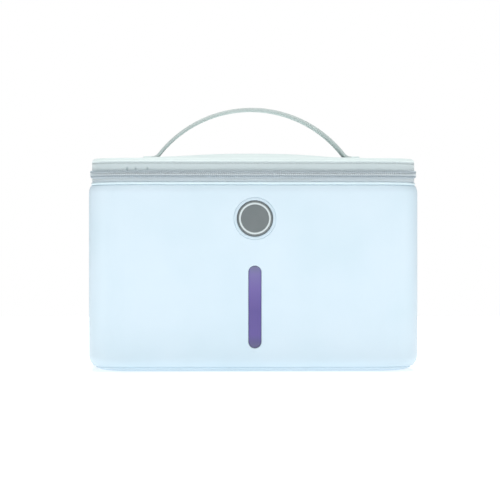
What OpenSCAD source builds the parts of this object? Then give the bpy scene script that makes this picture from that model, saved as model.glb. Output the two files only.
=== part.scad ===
// Portable UV steriliser case: a moulded soft-shell box with a zipped lid and a carry strap.
// Millimetres. +Z is up, the front faces -Y, and the origin is the middle of the base.

/* [Case] */
// Width over the side faces
case_w = 270; // [220:1:320]
// Depth from the front face to the rear face
case_d = 175; // [150:1:220]
// Height of the moulded lower shell, up to its lip
shell_h = 152; // [140:0.1:200]
// Corner radius seen from above
corner_r = 33; // [28:1:45]
// Wall of the moulded shell
shell_wall = 4.4; // [4:0.1:6]
// Radius of the rounded bottom edge
base_r = 14; // [10:0.5:18]
// Radius of the soft shoulder below the lip
shoulder_r = 14; // [10:0.5:20]
// Height of the shoulder below the lip
shoulder_h = 6.5; // [4:0.5:9]

/* [Zip] */
// Diameter of the piping on the lip
piping_d = 2.6; // [2:0.1:4]
// How far the tape lies behind the outer faces
tape_inset = 2.5; // [2.5:0.1:3.5]
// Thickness of the woven tape
tape_t = 0.8; // [0.5:0.1:1.2]
// Bare height of the lower tape
tape_low_h = 3.8; // [2.5:0.1:6]
// Bare height of the upper tape
tape_up_h = 6.9; // [6.2:0.1:12]
// Length of the tape's sewn edge inside the shell
tape_hem = 10; // [6:0.5:16]
// Height of one half of the coil
coil_h = 2.3; // [1.8:0.1:3]
// How far the coil stands out of the tape
coil_proud = 1.8; // [1.5:0.1:2.2]
// Gap between the two halves of the coil
coil_gap = 1.2; // [1.1:0.1:1.6]
// Length of the end stops on the coil
stop_l = 3; // [2:0.5:5]
// Width of the cloth hinge at the rear
hinge_w = 176; // [100:1:180]
// Gap between the two leaves of the cloth hinge
hinge_gap = 0.6; // [0.4:0.1:1]

/* [Sliders] */
// Length of a slider along the zip
slider_l = 9; // [7:0.5:10]
// Width of a slider across the zip
slider_w = 9.6; // [8:0.2:10]
// Thickness of a slider's plates
slider_t = 1.4; // [1:0.1:1.5]
// Play between a slider's plates and the coil or the tape
slider_play = 0.3; // [0.25:0.05:0.4]
// Thickness of the neck between a slider's plates
neck_t = 0.7; // [0.5:0.05:0.7]
// Place of the front slider along the side
front_slider_y = 26; // [0:0.5:26]
// Distance between the two sliders
slider_pitch = 11.5; // [11:0.5:14]
// Diameter of the pin that the pull hangs on
pin_d = 1.4; // [1.2:0.1:1.8]
// Radial clearance of the pull on its pin
pin_play = 0.08; // [0.05:0.01:0.1]
// Length of a pull below its pin
pull_l = 25; // [15:1:35]
// Width of a pull
pull_w = 7; // [5:0.5:8]
// Thickness of a pull
pull_t = 1.6; // [1.2:0.1:2]

/* [Lid] */
// Radius of the lid's rolled edge
rim_r = 2.9; // [2.5:0.1:5]
// Thickness of the flat of the lid over its lining
lid_t = 3.8; // [3.6:0.1:5]
// Height of the padded crown over the flat of the lid
crown_h = 6.2; // [5:0.1:10]
// Margin from the crown to the edge of the lid's flat
crown_margin = 1.9; // [1:0.1:6]
// Depth of the lid's skirt behind the upper tape
skirt_h = 3.4; // [2:0.1:4]
// Thickness of the lid's skirt
skirt_t = 3; // [2:0.1:4]
// Thickness of the reflective lining of the lid
lid_liner_t = 1; // [0.6:0.1:1.6]

/* [Handle] */
// Outer radius of the strap's arch
handle_r = 99.8; // [90:0.1:102]
// Top of the arch over the flat of the lid
handle_rise = 44.8; // [38:0.1:60]
// Thickness of the strap
handle_t = 2.5; // [2:0.1:3.8]
// Width of the strap
handle_w = 24; // [15:1:35]
// Radius of the bend into the foot, at mid thickness
handle_bend_r = 8; // [6:0.5:10]
// Length of the flat foot
foot_l = 7; // [7:0.5:18]
// Height of the foot's underside over the flat of the lid
foot_rise = 1.5; // [0:0.1:2.3]
// Play round the foot in its recess
foot_play = 0.3; // [0.2:0.05:0.6]
// Diameter of the foot's screws
foot_screw_d = 3; // [2:0.1:4]
// Distance between the two screws of a foot
foot_screw_pitch = 12; // [9:0.5:14]
// Thickness of the backing plate under the foot
backing_t = 1.2; // [0.8:0.1:1.4]

/* [Button] */
// Diameter of the power button
button_d = 28.6; // [20:0.1:32]
// Distance from the shell's lip down to the button's middle
button_drop = 27.2; // [26:0.1:36]
// How far the button stands out of the front face
button_proud = 0.8; // [0.4:0.1:1.5]
// Travel of the button
button_travel = 1; // [0.5:0.1:1.2]
// Play round the button in its bezel
button_play = 0.3; // [0.2:0.05:0.5]
// Width of the bezel round the button
bezel_w = 2.4; // [2:0.1:4]
// Thickness of the bezel's flange
bezel_t = 1.2; // [0.8:0.1:1.8]
// Wall of the bezel's sleeve
sleeve_t = 1; // [0.8:0.1:1.5]
// Thickness of the button's face and skirt
button_wall = 2; // [1.5:0.1:3]
// Outer diameter of the pale ring in the button's face
ring_d = 25.8; // [15:0.1:27]
// Width of the pale ring
ring_w = 1.5; // [1:0.1:2.5]
// Depth of the pale ring in the face
ring_depth = 0.8; // [0.4:0.1:1.2]

/* [Window] */
// Width of the indicator window
window_w = 10.3; // [6:0.1:16]
// Height of the indicator window
window_h = 66.7; // [40:0.1:70]
// Height of the window's middle over the base
window_z = 53.2; // [52:0.1:60]
// How far the window lies behind the front face
window_recess = 0.9; // [0.3:0.1:1.5]
// Play round the window in its slot
window_play = 0.15; // [0.1:0.05:0.3]
// Width of the window's flange behind the wall
window_flange = 1.6; // [1:0.1:3]
// Thickness of the window's flange
window_flange_t = 1.2; // [0.8:0.1:2]
// Thickness of the light guide behind the window
guide_t = 3.4; // [2:0.1:4]

/* [Inside] */
// Wall of the reflective inner tub
tub_t = 1; // [0.8:0.1:1.6]
// Gap from the shell's outer face to the tub at the sides and rear
tub_side = 7; // [6.5:0.1:10]
// Depth of the bay for the front electronics
front_bay = 13; // [12.5:0.1:20]
// Height of the bay for the base electronics
base_bay = 18.5; // [18:0.1:30]
// Radius of the tub's bottom edge
tub_base_r = 8; // [5:0.5:12]
// Thickness of the circuit boards
board_t = 1.4; // [1:0.1:1.6]
// Width of the control board
control_w = 64; // [50:1:100]
// Height of the control board
control_h = 37; // [30:1:45]
// Length of a lamp board
lamp_board_l = 150; // [120:1:160]
// Width of a lamp board
lamp_board_w = 30; // [20:1:50]
// Distance between lamps
lamp_pitch = 50; // [30:1:55]
// Diameter of a lamp's quartz lens
lens_d = 10; // [8:0.5:16]
// Play round a lens in its hole
lens_play = 0.2; // [0.1:0.05:0.4]
// How far a lens stands out of the lining
lens_proud = 0.6; // [0.2:0.1:1.5]
// Length of the battery pack
battery_l = 80; // [60:1:100]
// Width of the battery pack
battery_w = 45; // [30:1:48]
// Height of the battery pack
battery_h = 9.5; // [6:0.5:10]
// Thickness of the chassis in the base
chassis_t = 2; // [1.5:0.1:3]
// Diameter of the chassis posts
post_d = 6; // [5:0.5:8]
// Diameter of the board screws
screw_d = 2.5; // [2:0.1:3]
// Width of the charging socket
socket_w = 9; // [8:0.1:12]
// Height of the charging socket
socket_h = 3.2; // [2.8:0.1:4]
// Width of the rim round the charging socket
socket_rim = 1.9; // [1.2:0.1:3]

/* [Hidden] */
$fn = 64;

// A little extra for cuts that run past a face
past = 1;
// The narrow gap left between faces that pass or face each other
small_gap = 0.3;
front_y = -case_d / 2;

// Heights, from the lip of the shell upwards
button_z = shell_h - button_drop;
tape_low_z = shell_h + piping_d;
coil_low_z = tape_low_z + tape_low_h;
coil_up_z = coil_low_z + coil_h + coil_gap;
zip_z = coil_up_z - coil_gap / 2;
tape_up_z = coil_up_z + coil_h;
rim_z = tape_up_z + tape_up_h;
lid_flat_z = rim_z + rim_r;
lid_under_z = lid_flat_z - lid_t;
lid_liner_z = lid_under_z - lid_liner_t;

// Radii of the swept profiles, measured from the corner's centre
tape_out = corner_r - tape_inset;
tape_in = tape_out - tape_t;
hem_out = corner_r - shell_wall;
hem_in = hem_out - tape_t;
piping_r = piping_d / 2;
piping_at = hem_out + piping_r;
lining_edge = corner_r - tape_in + skirt_t;

// The crown is a stretched cap of a sphere on the lid's flat
crown_b = case_d / 2 - tape_inset - rim_r - crown_margin;
crown_a = case_w / 2 - tape_inset - rim_r - crown_margin;
crown_r = (pow(crown_b, 2) + pow(crown_h, 2)) / (2 * crown_h);

// The strap: an arch, a reversed bend and a flat foot on each side
foot_z = lid_flat_z + foot_rise;
handle_top_z = lid_flat_z + handle_rise;
handle_c_z = handle_top_z - handle_r;
handle_mid_r = handle_r - handle_t / 2;
foot_mid_z = foot_z + handle_t / 2;
handle_angle = acos((foot_mid_z - handle_c_z + handle_bend_r) / (handle_mid_r + handle_bend_r));
foot_x = (handle_mid_r + handle_bend_r) * sin(handle_angle);
foot_mid_x = foot_x + foot_l / 2;
recess_x = handle_r * sin(handle_angle) - handle_t;
recess_l = foot_x + foot_l + foot_play - recess_x;
backing_margin = 1;
backing_l = foot_l - backing_margin;
backing_w = handle_w - 2 * backing_margin;
foot_head_h = 1;
foot_head_d = foot_screw_d * 1.8;
foot_screw_cover = 1;
foot_screw_depth = handle_t - foot_screw_cover;

// The front bay, from the shell's inner face to the tub
wall_in_y = front_y + shell_wall;
tub_front_y = wall_in_y + front_bay;
control_standoff = 3.1;
control_back_y = tub_front_y - control_standoff;
control_y = control_back_y - board_t;
control_drop = 1;
control_z = button_z - control_drop;
switch_h = 3.7;
switch_w = 6;
button_front_y = front_y - button_proud;
button_lip_t = 1;
button_lip = 0.8;
bore_d = button_d + 2 * button_play;
sleeve_d = bore_d + 2 * sleeve_t;
flange_d = bore_d + 2 * bezel_w;
bezel_proud = 0.3;
sleeve_past = 1.5;
sleeve_back_y = wall_in_y + sleeve_past;
lip_gap = 0.2;
lip_y = sleeve_back_y + lip_gap;
stem_d = 5;
stem_gap = 0.1;
stem_y = control_y - switch_h - button_travel - stem_gap;
lens_front_y = front_y + window_recess;
guide_y = wall_in_y + window_flange_t;
chip_t = 0.6;
chip_w = 3;
chip_n = 5;
indicator_y = guide_y + guide_t + chip_t;
indicator_back_y = indicator_y + board_t;
indicator_margin = 1;
indicator_w = window_w + 2 * indicator_margin;

// The tub
tub_w = case_w - 2 * tub_side;
tub_rear_y = case_d / 2 - tub_side;
tub_d = tub_rear_y - tub_front_y;
tub_mid_y = (tub_rear_y + tub_front_y) / 2;
tub_r = corner_r - tub_side;
tub_z = shell_wall + base_bay;
tub_top_z = tape_low_z - small_gap;

// The base bay
post_inset = 4;
chassis_z = shell_wall + chassis_t;
chassis_side = 11;
chassis_end = 5.5;
chassis_w = case_w - 2 * base_r - 2 * chassis_side;
chassis_d = case_d - 2 * base_r - 2 * chassis_end;
lamp_gap = 2;
lamp_board_z = tub_z - lamp_gap - board_t;
battery_gap = 2;
battery_x = battery_l / 2 - chassis_w / 2 + 2 * battery_gap;
battery_y = post_inset - (lamp_board_w + post_d + battery_w) / 2 - battery_gap;
battery_edge_r = 3;
screw_head_d = screw_d * 2;
screw_head_h = 1.5;
charge_board_w = 28;
charge_board_d = 20;
charge_board_z = 17.2;
charge_board_gap = 3;
charge_board_y = case_d / 2 - shell_wall - charge_board_gap - charge_board_d;
socket_z = charge_board_z + board_t + socket_h / 2;
socket_d = 11;
socket_wall = 0.5;
socket_y = case_d / 2 - small_gap - socket_d;
rim_flange = 0.5;

// The lid's fittings
lamp_pocket_gap = 0.6;
lamp_pocket_margin = 0.5;
magnet_d = 8;
magnet_t = 2;
sensor_w = 4;
sensor_t = 1.5;
sensor_x = 22;

// The sliders, on the side face at +X
slider_out_x = case_w / 2 - tape_inset + coil_proud + slider_play;
slider_in_x = case_w / 2 - tape_inset - tape_t - slider_play;
rear_slider_y = front_slider_y + slider_pitch;
slider_edge_r = 2.5;
ear_wall = 0.9;
eye_d = pin_d + 2 * ear_wall;
ear_t = 1.2;
ear_gap = 4;
ear_cap = 0.6;
eye_play = 0.45;
pin_x = slider_out_x + slider_t + eye_play + eye_d / 2;
pin_rise = 2.7;
pin_z = zip_z + pin_rise;
eye_side = 0.2;
eye_w = ear_gap - 2 * eye_side;
pull_edge_r = 2;

// Plain building blocks

// Carries a profile round a rectangle with rounded corners; the profile's x runs outwards from the
// corner's centre
module sweep(w, d, r) {
  for (side = [0:3]) {
    half_a = (side % 2 == 0) ? w / 2 - r : d / 2 - r;
    half_b = (side % 2 == 0) ? d / 2 - r : w / 2 - r;
    rotate([0, 0, 90 * side]) translate([half_a, half_b, 0]) {
      rotate_extrude(angle = 90) children();
      rotate([90, 0, 0]) linear_extrude(2 * half_b) children();
    }
  }
}

// A quarter or less of a disc, for a rounded edge in a profile
module round_edge(x, z, r, low, high) {
  intersection() {
    translate([x, z]) circle(r = r, $fn = 96);
    translate([x, low]) square([r + past, high - low]);
  }
}

// A flat rectangle with rounded corners
module rounded(w, d, r) {
  square([w, d - 2 * r], center = true);
  square([w - 2 * r, d], center = true);
  for (x = [-1, 1], y = [-1, 1]) translate([x * (w / 2 - r), y * (d / 2 - r)]) circle(r = r);
}

// An upright slot with round ends, standing in the front wall and t thick towards the rear
module upright_slot(w, h, t) {
  rotate([90, 0, 0]) translate([0, 0, -t]) linear_extrude(t) {
    square([w, h - w], center = true);
    for (z = [-1, 1]) translate([0, z * (h - w) / 2]) circle(d = w);
  }
}

// A lying slot with round ends, t thick towards the rear
module lying_slot(w, h, t) {
  rotate([90, 0, 0]) translate([0, 0, -t]) linear_extrude(t) {
    square([w - h, h], center = true);
    for (x = [-1, 1]) translate([x * (w - h) / 2, 0]) circle(d = h);
  }
}

// A round bar along +Y
module bar_y(d, l) {
  rotate([-90, 0, 0]) cylinder(d = d, h = l);
}

// A box centred in x and y
module block(w, d, h) {
  translate([-w / 2, -d / 2, 0]) cube([w, d, h]);
}

// Places its children at the corners of a rectangle
module corners(w, d) {
  for (x = [-1, 1], y = [-1, 1]) translate([x * w / 2, y * d / 2, 0]) children();
}

// Places its children on each lamp
module lamps() {
  for (i = [-1:1]) translate([i * lamp_pitch, 0, 0]) children();
}

// The stretch at the rear that the cloth hinge takes out of the zip
module hinge_stretch(extra) {
  translate([-hinge_w / 2 - extra, case_d / 2 - corner_r / 2, 0])
    cube([hinge_w + 2 * extra, corner_r, lid_flat_z]);
}

// The lower case

module shell_profile() {
  difference() {
    union() {
      square([corner_r - base_r, base_r]);
      translate([0, base_r]) square([corner_r, shell_h - shoulder_h - base_r]);
      translate([0, shell_h - shoulder_h]) square([corner_r - shoulder_r, shoulder_h]);
      round_edge(corner_r - base_r, base_r, base_r, 0, base_r);
      round_edge(corner_r - shoulder_r, shell_h - shoulder_h, shoulder_r, shell_h - shoulder_h, shell_h);
    }
    translate([-past, base_r]) square([hem_out + past, shell_h]);
    translate([-past, shell_wall]) square([corner_r - base_r + past, base_r]);
    translate([corner_r - base_r, base_r]) circle(r = base_r - shell_wall);
  }
}

module body_shell() color([0.86, 0.93, 0.98]) difference() {
  union() {
    sweep(case_w, case_d, corner_r) shell_profile();
    block(case_w - 2 * corner_r, case_d - 2 * corner_r, shell_wall);
  }
  translate([0, front_y - past, button_z]) bar_y(flange_d, bezel_t + past);
  translate([0, front_y, button_z]) bar_y(sleeve_d, shell_wall + past);
  translate([0, front_y - past, window_z])
    upright_slot(window_w + 2 * window_play, window_h + 2 * window_play, shell_wall + 2 * past);
  translate([0, case_d / 2 - shell_wall - past, socket_z])
    lying_slot(socket_w + 2 * socket_rim, socket_h + 2 * socket_rim, shell_wall + 2 * past);
}

module rim_piping() color([0.86, 0.95, 0.98])
  sweep(case_w, case_d, corner_r) translate([piping_at, shell_h + piping_r]) circle(r = piping_r);

// The lower tape: a hem inside the shell, a step over the piping and the bare strip up to the coil
module tape_profile(top) {
  translate([hem_in, tape_low_z - tape_hem]) square([tape_t, tape_hem]);
  translate([hem_in, tape_low_z]) square([tape_out - hem_in, tape_t]);
  translate([tape_in, tape_low_z]) square([tape_t, top - tape_low_z]);
}

module lower_zip_tape() color([0.74, 0.79, 0.81]) difference() {
  sweep(case_w, case_d, corner_r) tape_profile(coil_low_z);
  hinge_stretch(0);
}

module coil_profile(z) {
  translate([tape_in, z]) square([tape_t + coil_proud - coil_h / 2, coil_h]);
  translate([tape_out + coil_proud - coil_h / 2, z + coil_h / 2]) circle(d = coil_h);
}

module lower_zip_coil() color([0.66, 0.72, 0.75]) difference() {
  sweep(case_w, case_d, corner_r) coil_profile(coil_low_z);
  hinge_stretch(stop_l);
}

module zip_end_stops() color([0.7, 0.73, 0.75])
  for (x = [-1, 1]) translate([x * (hinge_w + stop_l) / 2, case_d / 2 - corner_r, 0])
    rotate([90, 0, 90]) translate([0, 0, -stop_l / 2]) linear_extrude(stop_l) coil_profile(coil_low_z);

module lower_hinge_leaf() color([0.78, 0.82, 0.84])
  translate([-hinge_w / 2, case_d / 2 - corner_r, 0]) rotate([90, 0, 90])
    linear_extrude(hinge_w) tape_profile(zip_z - hinge_gap / 2);

module tub_profile() {
  difference() {
    union() {
      translate([0, tub_z]) square([tub_r - tub_base_r, tub_base_r]);
      translate([0, tub_z + tub_base_r]) square([tub_r, tub_top_z - tub_z - tub_base_r]);
      round_edge(tub_r - tub_base_r, tub_z + tub_base_r, tub_base_r, tub_z, tub_z + tub_base_r);
    }
    translate([-past, tub_z + tub_base_r]) square([tub_r - tub_t + past, tub_top_z]);
    translate([-past, tub_z + tub_t]) square([tub_r - tub_base_r + past, tub_base_r]);
    translate([tub_r - tub_base_r, tub_z + tub_base_r]) circle(r = tub_base_r - tub_t);
  }
}

module inner_tub() color([0.82, 0.84, 0.86]) difference() {
  union() {
    translate([0, tub_mid_y, 0]) {
      sweep(tub_w, tub_d, tub_r) tub_profile();
      translate([0, 0, tub_z]) block(tub_w - 2 * tub_r, tub_d - 2 * tub_r, tub_t);
    }
    translate([0, 0, tub_top_z - tub_t]) linear_extrude(tub_t) difference() {
      rounded(case_w - 2 * (corner_r - hem_in), case_d - 2 * (corner_r - hem_in), hem_in);
      translate([0, tub_mid_y]) rounded(tub_w - 2 * tub_t, tub_d - 2 * tub_t, tub_r - tub_t);
    }
    control_posts(post_d, 0);
    indicator_posts();
  }
  control_posts(screw_d, past);
  translate([0, 0, tub_z - past]) lamps() cylinder(d = lens_d + 2 * lens_play, h = tub_t + 2 * past);
}

// Places its children, at the height of the board, on the control board's four corners
module control_corners() {
  for (x = [-1, 1], z = [-1, 1])
    translate([x * (control_w / 2 - post_inset), 0, control_z + z * (control_h / 2 - post_inset)]) children();
}

// The control board's posts, or the bores in them, on the tub's front face
module control_posts(d, extra) {
  control_corners() translate([0, control_back_y - extra, 0])
    bar_y(d, tub_front_y - control_back_y + extra);
}

module indicator_posts() {
  for (z = [-1, 1]) translate([0, indicator_back_y, window_z + z * window_h / 3])
    bar_y(post_d, tub_front_y - indicator_back_y);
}

// The power button and what it acts on

module button_bezel() color([0.84, 0.91, 0.96]) translate([0, 0, button_z]) difference() {
  union() {
    translate([0, front_y - bezel_proud, 0]) bar_y(flange_d, bezel_t + bezel_proud);
    translate([0, front_y, 0]) bar_y(sleeve_d, sleeve_back_y - front_y);
  }
  translate([0, front_y - past, 0]) bar_y(bore_d, case_d / 4);
}

module power_button() color([0.47, 0.5, 0.52]) translate([0, 0, button_z]) {
  difference() {
    translate([0, button_front_y, 0]) bar_y(button_d, lip_y - button_front_y);
    translate([0, button_front_y + button_wall, 0]) bar_y(button_d - 2 * button_wall, case_d / 4);
    ring_groove();
  }
  difference() {
    translate([0, lip_y, 0]) bar_y(sleeve_d - button_lip, button_lip_t);
    translate([0, lip_y - past, 0]) bar_y(button_d - 2 * button_wall, button_lip_t + 2 * past);
  }
  translate([0, button_front_y + button_wall, 0]) bar_y(stem_d, stem_y - button_front_y - button_wall);
}

module ring_groove() {
  difference() {
    translate([0, button_front_y, 0]) bar_y(ring_d, ring_depth);
    translate([0, button_front_y - past, 0]) bar_y(ring_d - 2 * ring_w, ring_depth + 2 * past);
  }
}

module button_ring() color([0.9, 0.93, 0.94]) translate([0, 0, button_z]) ring_groove();

module tact_switch() color([0.2, 0.2, 0.22])
  translate([-switch_w / 2, control_y - switch_h, button_z - switch_w / 2])
    cube([switch_w, switch_h, switch_w]);

module control_board() color([0.12, 0.38, 0.25]) difference() {
  translate([-control_w / 2, control_y, control_z - control_h / 2]) cube([control_w, board_t, control_h]);
  control_corners() translate([0, control_y - past, 0]) bar_y(screw_d, board_t + 2 * past);
}

module control_screws() color([0.7, 0.7, 0.72]) control_corners() translate([0, control_y, 0]) {
  translate([0, -screw_head_h, 0]) bar_y(screw_head_d, screw_head_h);
  bar_y(screw_d, tub_front_y - control_y - small_gap);
}

module lid_sensor() color([0.1, 0.1, 0.11])
  translate([sensor_x - sensor_w / 2, control_y - sensor_t, control_z + control_h / 2 - sensor_w])
    cube([sensor_w, sensor_t, sensor_w]);

// The indicator window

module window_lens() color([0.47, 0.4, 0.66]) translate([0, 0, window_z]) {
  translate([0, lens_front_y, 0]) upright_slot(window_w, window_h, wall_in_y - lens_front_y);
  translate([0, wall_in_y, 0])
    upright_slot(window_w + 2 * window_flange, window_h + 2 * window_flange, window_flange_t);
}

module light_guide() color([0.93, 0.93, 0.95]) translate([0, guide_y, window_z])
  upright_slot(window_w, window_h, guide_t);

module indicator_board() color([0.12, 0.38, 0.25]) {
  translate([-indicator_w / 2, indicator_y, window_z - window_h / 2]) cube([indicator_w, board_t, window_h]);
  for (i = [0:chip_n - 1])
    translate([-chip_w / 2, indicator_y - chip_t, window_z - chip_w / 2
      + (i - (chip_n - 1) / 2) * window_h / (chip_n + 1)]) cube([chip_w, chip_t, chip_w]);
}

// The base bay

module lamp_posts(d, z, h) {
  translate([0, 0, z]) corners(lamp_board_l - 2 * post_inset, lamp_board_w - 2 * post_inset)
    cylinder(d = d, h = h);
}

module charge_posts() {
  for (x = [-1, 1]) translate([x * (charge_board_w / 2 - post_inset), charge_board_y + post_inset, chassis_z])
    cylinder(d = post_d, h = charge_board_z - chassis_z);
}

module base_chassis() color([0.88, 0.89, 0.9]) difference() {
  union() {
    translate([0, 0, shell_wall]) linear_extrude(chassis_t) rounded(chassis_w, chassis_d, post_d);
    lamp_posts(post_d, chassis_z, lamp_board_z - chassis_z);
    charge_posts();
  }
  lamp_posts(screw_d, chassis_z + past, lamp_board_z);
}

module battery_pack() color([0.24, 0.33, 0.52]) translate([battery_x, battery_y, chassis_z])
  linear_extrude(battery_h) rounded(battery_l, battery_w, battery_edge_r);

module base_lamp_board() color([0.86, 0.87, 0.86]) difference() {
  translate([0, 0, lamp_board_z]) block(lamp_board_l, lamp_board_w, board_t);
  lamp_posts(screw_d, lamp_board_z - past, board_t + 2 * past);
}

module base_lamp_lenses() color([0.8, 0.86, 0.92])
  translate([0, 0, lamp_board_z + board_t]) lamps()
    cylinder(d = lens_d, h = lamp_gap + tub_t + lens_proud);

module base_screws() color([0.7, 0.7, 0.72]) {
  lamp_posts(screw_head_d, lamp_board_z + board_t, screw_head_h);
  lamp_posts(screw_d, chassis_z + 2 * past, lamp_board_z + board_t - chassis_z - 2 * past);
}

module charge_board() color([0.12, 0.38, 0.25]) translate([0, charge_board_y + charge_board_d / 2,
  charge_board_z]) block(charge_board_w, charge_board_d, board_t);

module charge_socket() color([0.72, 0.73, 0.75]) translate([0, socket_y, socket_z]) difference() {
  lying_slot(socket_w, socket_h, socket_d);
  translate([0, past, 0])
    lying_slot(socket_w - 2 * socket_wall, socket_h - 2 * socket_wall, socket_d);
}

module charge_socket_rim() color([0.62, 0.66, 0.69]) translate([0, case_d / 2 - shell_wall, socket_z])
  difference() {
    lying_slot(socket_w + 2 * socket_rim, socket_h + 2 * socket_rim, shell_wall + rim_flange);
    translate([0, -past, 0]) lying_slot(socket_w, socket_h, shell_wall + rim_flange + 2 * past);
  }

// The lid

module lid_profile() {
  translate([0, lid_under_z]) square([tape_in, rim_z - lid_under_z]);
  translate([0, rim_z]) square([tape_out - rim_r, rim_r]);
  translate([tape_in - skirt_t, rim_z - skirt_h]) square([skirt_t, skirt_h]);
  round_edge(tape_out - rim_r, rim_z, rim_r, rim_z, lid_flat_z);
}

module crown() {
  translate([0, 0, lid_flat_z]) scale([crown_a / crown_b, 1, 1]) rotate_extrude($fn = 180)
    intersection() {
      translate([0, crown_h - crown_r]) circle(r = crown_r, $fn = 720);
      translate([0, -past]) square([crown_b, crown_h + 2 * past]);
    }
}

module lid_shell() color([0.92, 0.97, 0.97]) difference() {
  union() {
    sweep(case_w, case_d, corner_r) lid_profile();
    translate([0, 0, lid_under_z]) block(case_w - 2 * corner_r, case_d - 2 * corner_r, lid_t);
    crown();
  }
  for (x = [-1, 1]) {
    translate([x * (recess_x + recess_l / 2), 0, foot_z])
      block(recess_l, handle_w + 2 * foot_play, handle_rise);
    translate([x * foot_mid_x, 0, lid_under_z - past])
      block(backing_l, backing_w, past + foot_head_h + backing_t);
  }
  foot_screws(foot_screw_d, lid_under_z, foot_z - lid_under_z + past);
  translate([0, 0, lid_under_z - past]) block(lamp_board_l + 2 * lamp_pocket_margin,
    lamp_board_w + 2 * lamp_pocket_margin, board_t + lamp_pocket_gap + past);
  translate([sensor_x, control_y, lid_under_z - past]) cylinder(d = magnet_d, h = magnet_t + past);
}

module upper_tape_profile(low) {
  translate([tape_in, low]) square([tape_t, rim_z - low]);
}

module upper_zip_tape() color([0.78, 0.82, 0.83]) difference() {
  sweep(case_w, case_d, corner_r) upper_tape_profile(tape_up_z);
  hinge_stretch(0);
}

module upper_zip_coil() color([0.66, 0.72, 0.75]) difference() {
  sweep(case_w, case_d, corner_r) coil_profile(coil_up_z);
  hinge_stretch(stop_l);
}

module upper_hinge_leaf() color([0.78, 0.82, 0.84])
  translate([-hinge_w / 2, case_d / 2 - corner_r, 0]) rotate([90, 0, 90])
    linear_extrude(hinge_w) upper_tape_profile(zip_z + hinge_gap / 2);

module lid_lining() color([0.82, 0.84, 0.86]) translate([0, 0, lid_liner_z]) linear_extrude(lid_liner_t)
  difference() {
    rounded(case_w - 2 * lining_edge, case_d - 2 * lining_edge, corner_r - lining_edge);
    lamps() circle(d = lens_d + 2 * lens_play);
  }

module lid_lamp_board() color([0.86, 0.87, 0.86]) translate([0, 0, lid_under_z + lamp_pocket_gap])
  block(lamp_board_l, lamp_board_w, board_t);

module lid_lamp_lenses() color([0.8, 0.86, 0.92]) translate([0, 0, lid_liner_z - lens_proud]) lamps()
  cylinder(d = lens_d, h = lens_proud + lid_liner_t + lamp_pocket_gap);

module sensor_magnet() color([0.6, 0.6, 0.62])
  translate([sensor_x, control_y, lid_under_z]) cylinder(d = magnet_d, h = magnet_t);

// The carry strap

// Points of an arc about c, without the first or the last where its neighbour has them
function arc(c, r, from, to, n, skip_first = 0, skip_last = 0) =
  [for (i = [skip_first:n - skip_last]) let (a = from + (to - from) * i / n) c + r * [cos(a), sin(a)]];

// The strap from the side, along its upper face to the left foot and back along its lower face
module strap_outline() {
  bend_n = 16;
  arch_n = 72;
  arch_c = [0, handle_c_z];
  bend_c = [foot_x, foot_mid_z + handle_bend_r];
  left_c = [-foot_x, foot_mid_z + handle_bend_r];
  tight_r = handle_bend_r - handle_t / 2;
  wide_r = handle_bend_r + handle_t / 2;
  toe_x = foot_x + foot_l;
  polygon(concat(
    [[toe_x, foot_z + handle_t]],
    arc(bend_c, tight_r, 270, 270 - handle_angle, bend_n, 0, 1),
    arc(arch_c, handle_r, 90 - handle_angle, 90 + handle_angle, arch_n),
    arc(left_c, tight_r, 270 + handle_angle, 270, bend_n, 1, 0),
    [[-toe_x, foot_z + handle_t], [-toe_x, foot_z]],
    arc(left_c, wide_r, 270, 270 + handle_angle, bend_n, 0, 1),
    arc(arch_c, handle_r - handle_t, 90 + handle_angle, 90 - handle_angle, arch_n),
    arc(bend_c, wide_r, 270 - handle_angle, 270, bend_n, 1, 0),
    [[toe_x, foot_z]]));
}

module foot_screws(d, z, h) {
  for (x = [-1, 1], y = [-1, 1]) translate([x * foot_mid_x, y * foot_screw_pitch / 2, z])
    cylinder(d = d, h = h);
}

module handle_strap() color([0.82, 0.85, 0.85]) difference() {
  rotate([90, 0, 0]) translate([0, 0, -handle_w / 2]) linear_extrude(handle_w) strap_outline();
  foot_screws(foot_screw_d, foot_z - past, past + foot_screw_depth);
}

module handle_backing_plates() color([0.6, 0.62, 0.64]) difference() {
  for (x = [-1, 1]) translate([x * foot_mid_x, 0, lid_under_z + foot_head_h])
    block(backing_l, backing_w, backing_t);
  foot_screws(foot_screw_d, lid_under_z, lid_t);
}

module handle_screws() color([0.7, 0.7, 0.72]) {
  foot_screws(foot_head_d, lid_under_z, foot_head_h);
  foot_screws(foot_screw_d, lid_under_z + foot_head_h,
    foot_z + foot_screw_depth - lid_under_z - foot_head_h);
}

// The sliders and their pulls, built at y = 0

module slider_plate(x) {
  translate([x, 0, zip_z]) rotate([90, 0, 90]) linear_extrude(slider_t)
    rounded(slider_l, slider_w, slider_edge_r);
}

// nose is 1 or -1 along Y, towards the other slider
module slider(nose) color([0.75, 0.77, 0.78]) {
  slider_plate(slider_out_x);
  slider_plate(slider_in_x - slider_t);
  translate([slider_in_x, nose * slider_l / 4 - slider_l / 8, zip_z - neck_t / 2])
    cube([slider_out_x - slider_in_x, slider_l / 4, neck_t]);
  for (side = [-1, 1])
    translate([slider_out_x + slider_t, side * (ear_gap + ear_t) / 2 - ear_t / 2, pin_z - eye_d / 2])
      cube([pin_x + pin_d / 2 + ear_cap - slider_out_x - slider_t, ear_t, eye_d]);
  translate([pin_x, -ear_gap / 2, pin_z]) bar_y(pin_d, ear_gap);
}

module front_zip_slider() translate([0, front_slider_y, 0]) slider(1);

module rear_zip_slider() translate([0, rear_slider_y, 0]) slider(-1);

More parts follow.
